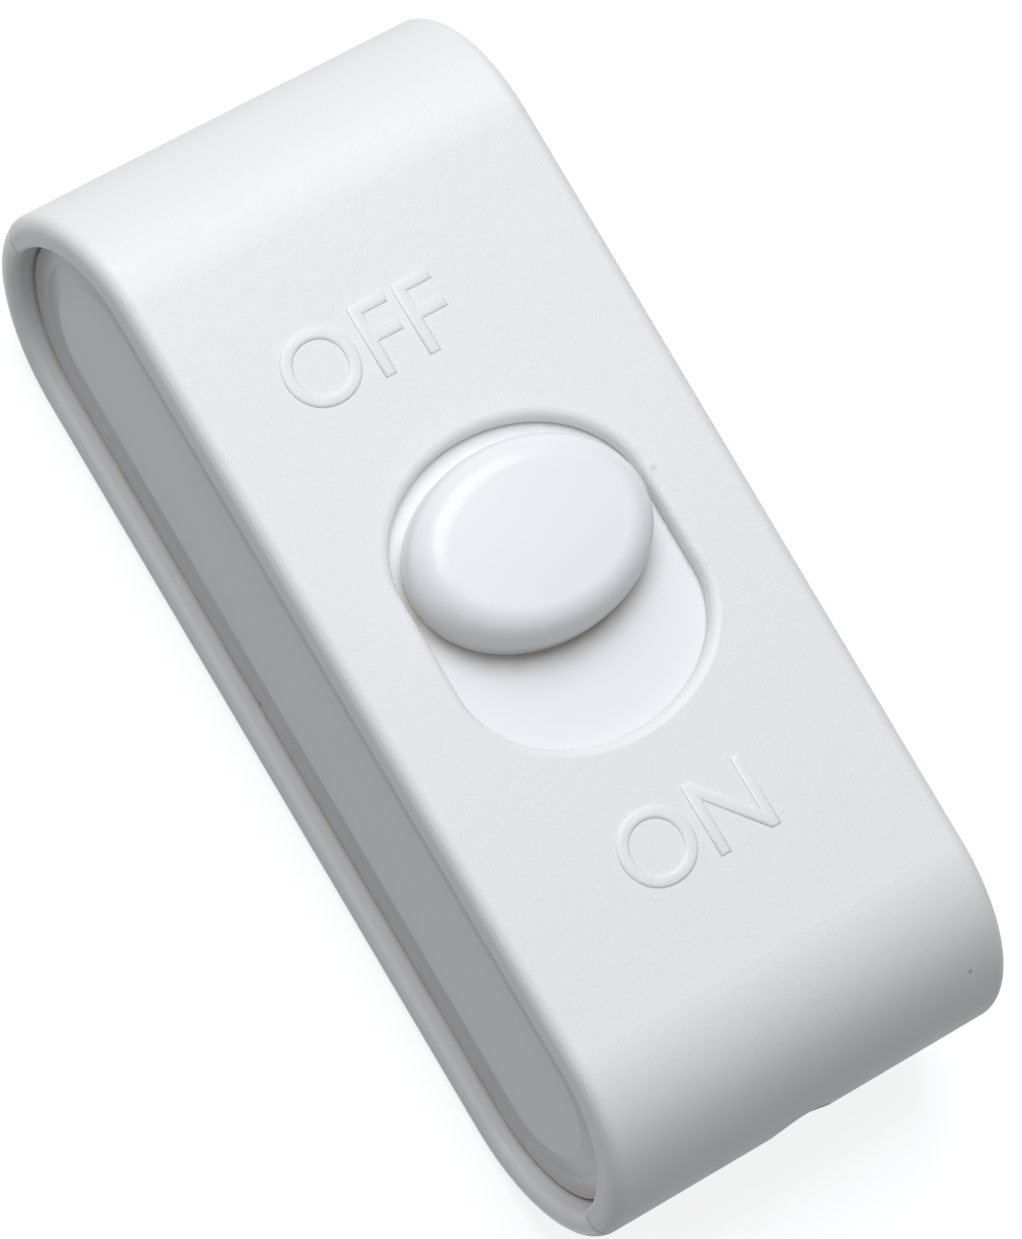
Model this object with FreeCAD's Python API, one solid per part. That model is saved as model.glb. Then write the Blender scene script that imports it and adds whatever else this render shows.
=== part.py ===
import FreeCAD, Part

import math
import os

# Inline cord switch: two moulded shells, a slide button with a detent, and single-pole contacts.
# Millimetres. Origin at the middle of the flat underside, +X along the length, +Y across, +Z up.
# The slide button stands at the off end of its travel, towards -X.

V = FreeCAD.Vector

# Housing
body_length = 75.8
body_width = 32.4
body_height = 20.4
shell_wall = 2.1
side_draft = 0.33
top_edge_round = 1.1
top_rim_round = 0.25
bottom_edge_round = 1.25
bottom_rim_round = 0.7
split_depth = 0.3
split_rise = 0.25

# Side panels, part of the top shell
panel_recess = 1.47
border_width = 1.7
border_step = 0.3
field_slope = 1.7
skirt_wall = 1.6
nest_gap = 0.2
lip_gap = 0.2
lip_wall = 1.2
lip_height = 2.6

# Slide button and its window
travel = 5.4
knob_semi_x = 6.7
knob_semi_y = 8.85
knob_wall = 1.0
knob_round = 2.2
knob_crown = 0.3
window_margin = 0.6
window_overrun = 0.85
window_shift = 0.25
window_round = 0.7
plate_thickness = 1.6
plate_lap = 0.77
plate_corner = 1.5
track_wall = 1.0
track_side = 0.65
slide_clear = 0.1
side_clear = 0.15
stop_clear = 0.1
rail_wall = 1.2
rail_half_length = 8.0

# Cord inlets and clamps
cord_diameter = 4.9
cord_drop = 0.5
inlet_clear = 0.1
inlet_flare = 0.12
inlet_flare_depth = 0.6
collar_wall = 1.5
collar_length = 4.3
clamp_squeeze = 0.25
clamp_width = 4.5
clamp_end_room = 6.2
clamp_bar_thickness = 2.2
clamp_end_flat = 0.6
clamp_rise = 1.4
saddle_drop = 1.0
saddle_wall = 1.7
clamp_screw_offset = 6.8
clamp_boss_radius = 2.25
clamp_screw_depth = 5.5

# Fasteners
thread_clear = 0.02
hole_clear = 0.15
tip_room = 0.6
recess_width = 0.7
recess_share = 0.55
head_edge_share = 0.35
tip_radius = 0.3
terminal_head_radius = 2.3
terminal_head_height = 1.7
terminal_shank_radius = 1.25
terminal_screw_depth = 3.6
clamp_head_radius = 2.2
clamp_head_height = 1.6
clamp_shank_radius = 1.2
housing_head_radius = 2.6
housing_head_height = 1.9
housing_head_sink = 0.8
housing_shank_radius = 1.35
counterbore_clear = 0.3
tower_wall = 1.1
boss_radius = 2.6
boss_gap = 0.05
boss_roof = 1.2

# Contacts and terminals
pedestal_height = 5.2
strip_thickness = 1.2
strip_width = 4.6
strip_end_margin = 3.0
strip_corner = 0.6
pedestal_margin = 0.3
pedestal_corner = 1.2
washer_size = 4.8
washer_thickness = 0.8
washer_corner = 0.5
terminal_gap = 2.2
contact_spacing = 8.0
contact_gap = 3.4
dimple_radius = 1.0
dimple_drop = 0.5
touch_gap = 0.05
bridge_thickness = 0.8
bridge_width = 3.6
bridge_end = 1.3
bridge_corner = 0.5
bridge_clear = 0.15

# Slide carrier under the plate
carrier_wall = 1.0
carrier_floor_gap = 0.35
carrier_rail_gap = 0.8
carrier_detent_gap = 0.65
bridge_lift = 0.8
coil_radius = 1.3
coil_wire = 0.45
coil_turns = 4
coil_clear = 0.2
coil_roof = 1.5

# Detent
leaf_thickness = 0.35
leaf_half_width = 1.4
leaf_foot = 2.0
leaf_half_length = 8.2
leaf_height = 4.4
leaf_shoulder_x = 1.5
leaf_shoulder_drop = 1.5
detent_depth = 2.7
notch_depth = 1.0
notch_half_width = 1.25
notch_clear = 0.12
detent_half_width = 1.7
detent_seat_wall = 1.0
detent_seat_rise = 0.8
detent_rib_end = 2.7

# Cutting tools run past a face by overcut, and edges are picked to within nearness
overcut = 1.0
nearness = 1e-4
side_cosine = 0.99  # least sideways share of a side face's normal

# Places worked out from the driving sizes
mid_z = body_height / 2
end_x = body_length / 2
side_y = body_width / 2
border_y = side_y - panel_recess - border_step
field_y = side_y - panel_recess
skirt_y = border_y - skirt_wall
lip_y = skirt_y - lip_gap
floor_z = shell_wall

off_x = -travel / 2
window_semi_x = knob_semi_x + window_margin
window_semi_y = knob_semi_y + window_margin
window_centre_x = travel / 2 + window_overrun
window_half_x = window_centre_x + window_semi_x
plate_half_x = window_half_x + travel / 2 + plate_lap
plate_half_y = skirt_y - track_side - side_clear
plate_top = body_height - track_wall - slide_clear
plate_bottom = plate_top - plate_thickness
track_half_x = plate_half_x + travel / 2 + stop_clear
track_half_y = plate_half_y + side_clear

inlet_radius = cord_diameter / 2 + inlet_clear
clamp_radius = cord_diameter / 2 - clamp_squeeze
clamp_x = end_x - clamp_end_room - clamp_width / 2
cord_z = mid_z - cord_drop
clamp_seat_z = cord_z + clamp_rise
collar_x = end_x - collar_length

bridge_half_x = contact_spacing / 2 + bridge_end
carrier_half_x = bridge_half_x + bridge_clear + carrier_wall
carrier_half_y = bridge_width / 2 + bridge_clear + carrier_wall
pole_y = detent_half_width + carrier_detent_gap + carrier_half_y
rail_y = pole_y + carrier_half_y + carrier_rail_gap + rail_wall
pedestal_z = floor_z + pedestal_height
contact_z = pedestal_z + strip_thickness
carrier_bottom = contact_z + carrier_floor_gap
bridge_bottom = contact_z + touch_gap + dimple_drop
bridge_top = bridge_bottom + bridge_thickness
terminal_x = carrier_half_x + travel / 2 + terminal_gap + washer_size / 2
strip_end_x = terminal_x + strip_end_margin
gap_start = off_x + contact_spacing / 2 - contact_gap / 2
gap_end = gap_start + contact_gap
washer_z = contact_z + washer_thickness

notch_z = plate_bottom - detent_depth
leaf_top = notch_z + notch_depth - notch_clear
leaf_seat_z = leaf_top - leaf_height
tower_x = (track_half_x + clamp_x - clamp_width / 2) / 2
housing_seat_z = housing_head_sink + housing_head_height
counterbore_radius = housing_head_radius + counterbore_clear
tower_radius = counterbore_radius + tower_wall
boss_hole_top = body_height - shell_wall - boss_roof
housing_length = boss_hole_top - tip_room - housing_seat_z


def box(x0, x1, y0, y1, z0, z1):
    """Box between two corners."""
    return Part.makeBox(x1 - x0, y1 - y0, z1 - z0, V(x0, y0, z0))


def upright(radius, x, y, z0, z1):
    """Vertical cylinder."""
    return Part.makeCylinder(radius, z1 - z0, V(x, y, z0), V(0, 0, 1))


def along_x(radius, x0, x1, z):
    """Cylinder along X over the middle of the width."""
    return Part.makeCylinder(radius, x1 - x0, V(x0, 0, z), V(1, 0, 0))


def stadium_wire(inset, y):
    """Housing outline in side view, with round ends, moved in by an inset."""
    radius = body_height / 2 - inset
    centre_x = end_x - body_height / 2
    low = mid_z - radius
    high = mid_z + radius
    right = Part.Arc(V(centre_x, y, low), V(centre_x + radius, y, mid_z), V(centre_x, y, high))
    left = Part.Arc(V(-centre_x, y, high), V(-centre_x - radius, y, mid_z), V(-centre_x, y, low))
    top = Part.LineSegment(V(centre_x, y, high), V(-centre_x, y, high))
    bottom = Part.LineSegment(V(-centre_x, y, low), V(centre_x, y, low))
    return Part.Wire([piece.toShape() for piece in (right, top, left, bottom)])


def stadium(inset, y0, y1):
    """Housing outline drawn out across the width."""
    return Part.Face(stadium_wire(inset, y0)).extrude(V(0, y1 - y0, 0))


def oval(semi_x, semi_y, centre_x, z0, z1):
    """Elliptic cylinder whose long axis runs across the width."""
    ellipse = Part.Ellipse(V(centre_x, semi_y, z0), V(centre_x + semi_x, 0, z0), V(centre_x, 0, z0))
    if semi_x > semi_y:
        ellipse = Part.Ellipse(V(centre_x + semi_x, 0, z0), V(centre_x, semi_y, z0), V(centre_x, 0, z0))
    return Part.Face(Part.Wire(ellipse.toShape())).extrude(V(0, 0, z1 - z0))


def rounded_bar(half_x, half_y, corner, x, y, z0, z1):
    """Flat bar with rounded corners in plan."""
    bar = box(x - half_x, x + half_x, y - half_y, y + half_y, z0, z1)
    uprights = [edge for edge in bar.Edges if abs(edge.tangentAt(edge.FirstParameter).z) > 0.99]
    return bar.makeFillet(corner, uprights)


def polygon_along_y(points, y0, y1):
    """Prism across the width from an outline in X and Z."""
    corners = [V(x, y0, z) for x, z in points]
    return Part.Face(Part.makePolygon(corners + corners[:1])).extrude(V(0, y1 - y0, 0))


def screw(head_radius, head_height, shank_radius, length, seat, up):
    """Pan-head screw with a cross recess, its shank pointing up or down from the seat."""
    head = Part.makeCylinder(head_radius, head_height)
    crown = [edge for edge in head.Edges if edge.BoundBox.ZMin > head_height / 2]
    head = head.makeChamfer(head_height * head_edge_share, crown)
    shank = Part.makeCylinder(shank_radius, length - shank_radius, V(0, 0, 0), V(0, 0, -1))
    tip = Part.makeCone(shank_radius, tip_radius, shank_radius, V(0, 0, shank_radius - length), V(0, 0, -1))
    solid = head.fuse([shank, tip])
    arm = head_radius * recess_share
    half = recess_width / 2
    depth = head_height * (1 - recess_share)
    cross = box(-arm, arm, -half, half, depth, head_height)
    cross = cross.fuse(box(-half, half, -arm, arm, depth, head_height))
    solid = solid.cut(cross).removeSplitter()
    if up:
        solid.rotate(V(0, 0, 0), V(1, 0, 0), 180)
    solid.translate(seat)
    return solid


def ends():
    """Signs of the two ends, the -X end first."""
    return (-1, 1)


def outline_at(inset, corner, z):
    """Rounded rectangle of the housing seen from above, moved in by an inset."""
    half_x = end_x - inset
    half_y = side_y - inset
    bar = rounded_bar(half_x, half_y, corner - inset, 0, 0, z - overcut, z)
    top = [face for face in bar.Faces if face.BoundBox.ZMin > z - nearness]
    return top[0].OuterWire


def split_groove(corner):
    """Shallow V round the outline where the two halves meet."""
    root = outline_at(split_depth, corner, mid_z)
    ring = box(-body_length, body_length, -body_width, body_width, mid_z - split_rise, mid_z + split_rise)
    for rise in (split_rise, -split_rise):
        ring = ring.cut(Part.makeLoft([root, outline_at(0, corner, mid_z + rise)], True, True))
    return ring


def drafted_block(sign):
    """Long block whose sides lean in from the parting towards the top (+1) or the underside (-1)."""
    low = side_y + sign * side_draft
    high = side_y - sign * side_draft
    section = [(-low, 0), (low, 0), (high, body_height), (-high, body_height)]
    corners = [V(-body_length, y, z) for y, z in section]
    return Part.Face(Part.makePolygon(corners + corners[:1])).extrude(V(2 * body_length, 0, 0))


def depth_inside(point):
    """Distance of a point from the housing outline in side view."""
    past = max(abs(point.x) - (end_x - body_height / 2), 0)
    return body_height / 2 - math.hypot(past, point.z - mid_z)


def side_edges(body, from_depth):
    """Edges of the two leaning sides that lie deeper inside the outline than a given depth."""
    flats = [face for face in body.Faces if face.Surface.TypeId == "Part::GeomPlane"]
    sides = [face for face in flats if abs(face.normalAt(0, 0).y) > side_cosine]
    edges = [edge for face in sides for edge in face.Edges]
    return [edge for edge in edges if depth_inside(edge.valueAt(edge.FirstParameter)) > from_depth]


def housing_half(sign):
    """Wall of the upper (+1) or lower (-1) half: the band round the long outline, with its inlets."""
    edge_round = top_edge_round if sign > 0 else bottom_edge_round
    rim_round = top_rim_round if sign > 0 else bottom_rim_round
    far_y = side_y + overcut
    body = stadium(0, -far_y, far_y).common(drafted_block(sign))
    body = body.makeFillet(edge_round, side_edges(body, -nearness))
    body = body.cut(stadium(shell_wall, -far_y, far_y))
    body = body.makeFillet(rim_round, side_edges(body, shell_wall - nearness))
    inside = stadium(shell_wall / 2, -skirt_y, skirt_y)
    for end in ends():
        reach = sorted((end * collar_x, end * end_x))
        collar = along_x(inlet_radius + collar_wall, reach[0], reach[1], cord_z)
        body = body.fuse(collar.common(inside))
    for end in ends():
        reach = sorted((end * (collar_x - collar_length), end * (end_x + overcut)))
        body = body.cut(along_x(inlet_radius, reach[0], reach[1], cord_z))
        flare = Part.makeCone(
            inlet_radius,
            inlet_radius + inlet_flare,
            inlet_flare_depth,
            V(end * (end_x - inlet_flare_depth), 0, cord_z),
            V(end, 0, 0),
        )
        body = body.cut(flare)
    body = body.cut(split_groove(edge_round))
    reach = sorted((mid_z, mid_z + sign * body_height))
    half = body.common(box(-body_length, body_length, -body_width, body_width, reach[0], reach[1]))
    return half.removeSplitter()


def side_panels():
    """Two skirts that hang from the top shell, each with a raised field inside a border."""
    lower = box(-body_length, body_length, -body_width, body_width, -body_height, mid_z)
    panels = []
    for side in ends():
        reach = sorted((side * skirt_y, side * border_y))
        plate = stadium(shell_wall / 2, reach[0], reach[1]).cut(lower)
        plate = plate.fuse(stadium(shell_wall + nest_gap, reach[0], reach[1]))
        foot = stadium_wire(shell_wall + border_width, side * border_y)
        crest = stadium_wire(shell_wall + border_width + field_slope, side * field_y)
        field = Part.makeLoft([foot, crest], True, True)
        panels.append(plate.fuse(field))
    return panels


def window_cutter(semi_x, semi_y, z0, z1):
    """Window outline: an oval swept along the travel."""
    x0 = window_shift - window_centre_x
    x1 = window_shift + window_centre_x
    left = oval(semi_x, semi_y, x0, z0, z1)
    right = oval(semi_x, semi_y, x1, z0, z1)
    middle = box(x0, x1, -semi_y, semi_y, z0, z1)
    return left.fuse([middle, right]).removeSplitter()


def make_top_shell():
    """Upper shell: band, side panels, slide track, window and two screw bosses."""
    shell = housing_half(1)
    for panel in side_panels():
        shell = shell.fuse(panel)
    for end in ends():
        boss = upright(boss_radius, end * tower_x, 0, mid_z + boss_gap, body_height - shell_wall / 2)
        shell = shell.fuse(boss)
    ceiling = body_height - track_wall
    shell = shell.cut(box(-track_half_x, track_half_x, -track_half_y, track_half_y, plate_bottom, ceiling))
    shell = shell.cut(window_cutter(window_semi_x, window_semi_y, plate_bottom, body_height + overcut))
    mouth = [
        edge
        for edge in shell.Edges
        if abs(edge.BoundBox.ZMin - body_height) < nearness
        and abs(edge.CenterOfMass.x) < window_half_x
        and edge.BoundBox.YMax < window_semi_y + nearness
        and edge.BoundBox.YMin > -window_semi_y - nearness
    ]
    shell = shell.makeFillet(window_round, mouth)
    hole = housing_shank_radius + thread_clear
    for end in ends():
        shell = shell.cut(upright(hole, end * tower_x, 0, mid_z, boss_hole_top))
    return shell.removeSplitter()


def make_bottom_shell():
    """Lower shell: band, locating lips, rails, pedestals, detent seat, clamp bosses and screw towers."""
    shell = housing_half(-1)
    inside = stadium(shell_wall / 2, -skirt_y, skirt_y)
    low = box(-body_length, body_length, -body_width, body_width, 0, mid_z - lip_height)
    features = []
    for side in ends():
        reach = sorted((side * lip_y, side * (lip_y - lip_wall)))
        lip = stadium(shell_wall / 2, reach[0], reach[1])
        lip = lip.cut(stadium(shell_wall + lip_height, reach[0], reach[1]))
        features.append(lip.common(low))
        reach = sorted((side * rail_y, side * (rail_y - rail_wall)))
        rail_top = plate_bottom - slide_clear
        features.append(box(-rail_half_length, rail_half_length, reach[0], reach[1], 0, rail_top))
        half_y = strip_width / 2 + pedestal_margin
        half_x = strip_end_x + pedestal_margin
        features.append(rounded_bar(half_x, half_y, pedestal_corner, 0, side * pole_y, 0, pedestal_z))
    features.append(box(gap_start, gap_end, pole_y - strip_width / 2, pole_y + strip_width / 2, 0, contact_z))
    seat_x = leaf_half_length + side_clear + detent_seat_wall
    seat = box(-seat_x, seat_x, -detent_half_width, detent_half_width, 0, leaf_seat_z + detent_seat_rise)
    inner_x = leaf_half_length + side_clear
    seat = seat.cut(box(-inner_x, inner_x, -body_width, body_width, leaf_seat_z, body_height))
    features.append(seat)
    for end in ends():
        features.append(upright(tower_radius, end * tower_x, 0, 0, mid_z))
        half = clamp_width / 2
        groove_wall = clamp_radius + saddle_wall
        x = end * clamp_x
        features.append(box(x - half, x + half, -groove_wall, groove_wall, 0, cord_z - saddle_drop))
        for side in ends():
            y = side * clamp_screw_offset
            features.append(upright(clamp_boss_radius, x, y, 0, clamp_seat_z))
    for feature in features:
        shell = shell.fuse(feature.common(inside))
    for end in ends():
        shell = shell.cut(upright(counterbore_radius, end * tower_x, 0, -overcut, housing_seat_z))
        shell = shell.cut(upright(housing_shank_radius + hole_clear, end * tower_x, 0, 0, mid_z + overcut))
        half = clamp_width / 2 + overcut
        shell = shell.cut(along_x(clamp_radius, end * clamp_x - half, end * clamp_x + half, cord_z))
        for side in ends():
            hole = clamp_shank_radius + thread_clear
            bottom = clamp_seat_z - clamp_screw_depth - tip_room
            shell = shell.cut(upright(hole, end * clamp_x, side * clamp_screw_offset, bottom, body_height))
            hole = terminal_shank_radius + thread_clear
            bottom = pedestal_z - terminal_screw_depth - tip_room
            shell = shell.cut(upright(hole, end * terminal_x, side * pole_y, bottom, body_height))
    return shell.removeSplitter()


def make_knob():
    """Oval thumb knob with a rounded edge and a gently crowned top, at the off end."""
    height = knob_wall + knob_round + knob_crown
    sphere_radius = (knob_semi_y**2 + knob_crown**2) / (2 * knob_crown)
    blank = oval(knob_semi_x, knob_semi_y, off_x, plate_top - plate_thickness / 2, plate_top + height)
    crown = Part.makeSphere(sphere_radius, V(off_x, 0, plate_top + height - sphere_radius))
    blank = blank.common(crown)
    level = plate_top + knob_wall
    rim = [edge for edge in blank.Edges if edge.BoundBox.ZMin > level and edge.BoundBox.YLength > knob_semi_y]
    return blank.makeFillet(knob_round, rim)


def make_slide_button():
    """Knob, slide plate, contact carrier and notched detent rib as one moulding."""
    button = rounded_bar(plate_half_x, plate_half_y, plate_corner, off_x, 0, plate_bottom, plate_top)
    button = button.fuse(make_knob())
    root = plate_bottom + plate_thickness / 2
    corner = carrier_wall / 2
    button = button.fuse(
        rounded_bar(carrier_half_x, carrier_half_y, corner, off_x, pole_y, carrier_bottom, root)
    )
    rib_x = travel / 2 + detent_rib_end
    rib_y = detent_half_width
    button = button.fuse(box(off_x - rib_x, off_x + rib_x, -rib_y, rib_y, notch_z, root))
    room_x = bridge_half_x + bridge_clear
    room_y = bridge_width / 2 + bridge_clear
    room_top = bridge_top + bridge_lift
    room_bottom = carrier_bottom - overcut
    button = button.cut(
        box(off_x - room_x, off_x + room_x, pole_y - room_y, pole_y + room_y, room_bottom, room_top)
    )
    pocket = coil_radius + coil_wire / 2 + coil_clear
    button = button.cut(upright(pocket, off_x, pole_y, room_top - overcut, plate_bottom - coil_roof))
    for step in ends():
        x = off_x + step * travel / 2
        notch = [(x - notch_half_width, notch_z), (x, notch_z + notch_depth), (x + notch_half_width, notch_z)]
        button = button.cut(polygon_along_y(notch, -detent_half_width, detent_half_width))
    return button.removeSplitter()


def make_moving_contact():
    """Bridge with two round contact dimples on its underside."""
    half_y = bridge_width / 2
    bridge = rounded_bar(bridge_half_x, half_y, bridge_corner, off_x, pole_y, bridge_bottom, bridge_top)
    for step in ends():
        x = off_x + step * contact_spacing / 2
        centre = V(x, pole_y, bridge_bottom - dimple_drop + dimple_radius)
        ball = Part.makeSphere(dimple_radius, centre)
        low = box(
            x - dimple_radius,
            x + dimple_radius,
            pole_y - dimple_radius,
            pole_y + dimple_radius,
            contact_z,
            bridge_top - bridge_thickness / 2,
        )
        bridge = bridge.fuse(ball.common(low))
    return bridge.removeSplitter()


def make_contact_spring():
    """Compression coil between the bridge and the roof of its pocket."""
    start = bridge_top + coil_wire / 2
    height = plate_bottom - coil_roof - coil_wire / 2 - start
    helix = Part.makeLongHelix(height / coil_turns, height, coil_radius)
    ring = Part.Wire(Part.Circle(V(coil_radius, 0, 0), V(0, 1, 0), coil_wire / 2).toShape())
    coil = Part.Wire(helix.Edges).makePipeShell([ring], True, True)
    coil.translate(V(off_x, pole_y, start))
    return coil


def make_detent_spring():
    """Formed leaf on two feet, with a nose that stands in a notch of the slide."""
    top = leaf_top
    shoulder = top - leaf_shoulder_drop
    foot_x = leaf_half_length - leaf_foot
    line = [
        V(-leaf_half_length, 0, leaf_seat_z + leaf_thickness),
        V(-foot_x, 0, leaf_seat_z + leaf_thickness),
        V(-leaf_shoulder_x, 0, shoulder),
        V(0, 0, top),
        V(leaf_shoulder_x, 0, shoulder),
        V(foot_x, 0, leaf_seat_z + leaf_thickness),
        V(leaf_half_length, 0, leaf_seat_z + leaf_thickness),
    ]
    upper = Part.makePolygon(line)
    outline = upper.makeOffset2D(-leaf_thickness, 0, True, True, False)
    leaf = outline.extrude(V(0, 2 * leaf_half_width, 0))
    leaf.translate(V(0, -leaf_half_width, 0))
    return leaf


def strip(x0, x1, y):
    """Flat brass strip on a pedestal."""
    return rounded_bar((x1 - x0) / 2, strip_width / 2, strip_corner, (x0 + x1) / 2, y, pedestal_z, contact_z)


def screw_hole(solid, x, y):
    """Clearance hole for a terminal screw."""
    radius = terminal_shank_radius + hole_clear
    return solid.cut(upright(radius, x, y, pedestal_z - overcut, washer_z + overcut))


def make_live_terminal(end):
    """Live strip of one end: the far one stops at the contact gap."""
    x0 = -strip_end_x if end < 0 else gap_end
    x1 = gap_start if end < 0 else strip_end_x
    return screw_hole(strip(x0, x1, pole_y), end * terminal_x, pole_y)


def make_neutral_link():
    """Unswitched strip that runs from one terminal to the other."""
    link = strip(-strip_end_x, strip_end_x, -pole_y)
    for end in ends():
        link = screw_hole(link, end * terminal_x, -pole_y)
    return link


def make_washer(end, side):
    """Square clamp washer on a strip."""
    half = washer_size / 2
    plate = rounded_bar(half, half, washer_corner, end * terminal_x, side * pole_y, contact_z, washer_z)
    return screw_hole(plate, end * terminal_x, side * pole_y)


def make_terminal_screw(end, side):
    """Screw that holds a wire under its washer."""
    length = washer_z - pedestal_z + terminal_screw_depth
    seat = V(end * terminal_x, side * pole_y, washer_z)
    return screw(terminal_head_radius, terminal_head_height, terminal_shank_radius, length, seat, False)


def make_cord_clamp(end):
    """Clamp bar with an arch for the cord and a hole at each end."""
    half_y = clamp_screw_offset + clamp_boss_radius
    top = clamp_seat_z + clamp_bar_thickness
    x = end * clamp_x
    bar = rounded_bar(clamp_width / 2, half_y, clamp_width / 2 - clamp_end_flat, x, 0, clamp_seat_z, top)
    bar = bar.cut(along_x(clamp_radius, x - clamp_width, x + clamp_width, cord_z))
    for side in ends():
        y = side * clamp_screw_offset
        radius = clamp_shank_radius + hole_clear
        bar = bar.cut(upright(radius, x, y, clamp_seat_z - overcut, top + overcut))
    return bar


def make_clamp_screw(end, side):
    """Screw that draws a clamp bar down on its boss."""
    seat = V(end * clamp_x, side * clamp_screw_offset, clamp_seat_z + clamp_bar_thickness)
    length = clamp_bar_thickness + clamp_screw_depth
    return screw(clamp_head_radius, clamp_head_height, clamp_shank_radius, length, seat, False)


def make_housing_screw(end):
    """Screw from the underside, through the lower shell into a boss of the upper one."""
    seat = V(end * tower_x, 0, housing_seat_z)
    return screw(housing_head_radius, housing_head_height, housing_shank_radius, housing_length, seat, True)


def all_pieces():
    """Every piece by its node name."""
    pieces = {
        "top_shell": make_top_shell(),
        "bottom_shell": make_bottom_shell(),
        "slide_button": make_slide_button(),
        "moving_contact": make_moving_contact(),
        "contact_spring": make_contact_spring(),
        "detent_spring": make_detent_spring(),
        "live_terminal_in": make_live_terminal(-1),
        "live_terminal_out": make_live_terminal(1),
        "neutral_link": make_neutral_link(),
    }
    for end, end_name in zip(ends(), ("in", "out")):
        pieces[f"cord_clamp_{end_name}"] = make_cord_clamp(end)
        pieces[f"housing_screw_{end_name}"] = make_housing_screw(end)
        for side, pole in zip(ends(), ("neutral", "live")):
            pieces[f"terminal_washer_{pole}_{end_name}"] = make_washer(end, side)
            pieces[f"terminal_screw_{pole}_{end_name}"] = make_terminal_screw(end, side)
        for side, place in zip(ends(), ("front", "rear")):
            pieces[f"clamp_screw_{place}_{end_name}"] = make_clamp_screw(end, side)
    return pieces


def main():
    """Write one STEP file for each piece."""
    os.makedirs("parts", exist_ok=True)
    for name, shape in all_pieces().items():
        shape.exportStep(f"parts/{name}.step")


main()
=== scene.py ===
import logging
import math
from dataclasses import dataclass, field
from enum import Enum
from typing import Callable, Mapping, Sequence

import bpy
from mathutils import Matrix, Vector


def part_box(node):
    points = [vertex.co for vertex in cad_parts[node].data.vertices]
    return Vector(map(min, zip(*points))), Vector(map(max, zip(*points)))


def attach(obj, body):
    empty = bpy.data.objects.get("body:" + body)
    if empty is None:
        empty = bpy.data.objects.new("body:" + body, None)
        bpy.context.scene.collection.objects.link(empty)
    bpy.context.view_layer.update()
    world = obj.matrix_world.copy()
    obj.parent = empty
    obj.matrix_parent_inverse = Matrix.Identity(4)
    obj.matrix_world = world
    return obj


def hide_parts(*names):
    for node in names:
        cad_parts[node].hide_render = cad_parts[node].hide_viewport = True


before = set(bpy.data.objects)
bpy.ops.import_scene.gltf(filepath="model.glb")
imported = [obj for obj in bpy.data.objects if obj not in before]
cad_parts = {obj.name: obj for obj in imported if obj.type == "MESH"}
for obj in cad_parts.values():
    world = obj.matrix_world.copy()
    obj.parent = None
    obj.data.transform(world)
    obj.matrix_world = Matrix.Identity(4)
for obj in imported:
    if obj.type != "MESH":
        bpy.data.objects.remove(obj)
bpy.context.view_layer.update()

# Looks of the inline cord switch: finishes of the CAD pieces, raised switch words, threaded screws,
# studio and camera. Metres throughout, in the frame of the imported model.

log = logging.getLogger("cord_switch")

MM = 0.001
PHOTO_HEIGHT_PX = 1239

Colour = tuple[float, float, float]
Place = tuple[float, float, float]
Range = tuple[float, float]
Socket = bpy.types.NodeSocket

COOL_WHITE: Colour = (0.91, 0.943, 1.0)
PURE_WHITE: Colour = (1.0, 1.0, 1.0)


class Body(Enum):
    """Rigid body that the new pieces ride on."""

    HOUSING = "housing"


class ShankWay(Enum):
    """Turn about X, in degrees, that points a screw's shank."""

    DOWN = 0.0
    UP = 180.0


class Group(Enum):
    """Shared shader groups."""

    GRAIN = "mould_grain"
    DRIFT = "tone_drift"
    SPECK = "moulding_speck"
    SIDE = "side_facing"
    SEAM = "seam_shade_and_grime"
    FOOT = "foot_shadow_and_grime"
    BRUSHED = "brushed_lines"


@dataclass(frozen=True)
class Octaves:
    """Detail of a noise texture: its number of octaves and the strength of the fine ones."""

    count: float
    rough: float


FINE_GRAIN = Octaves(2.0, 0.55)
SOFT_PEEL = Octaves(1.0, 0.5)
SLOW_CLOUD = Octaves(3.0, 0.6)
DRAWN_LINES = Octaves(4.0, 0.7)


def rgba(colour: Colour) -> tuple[float, float, float, float]:
    """Add full opacity to a colour."""
    return (*colour, 1.0)


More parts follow.
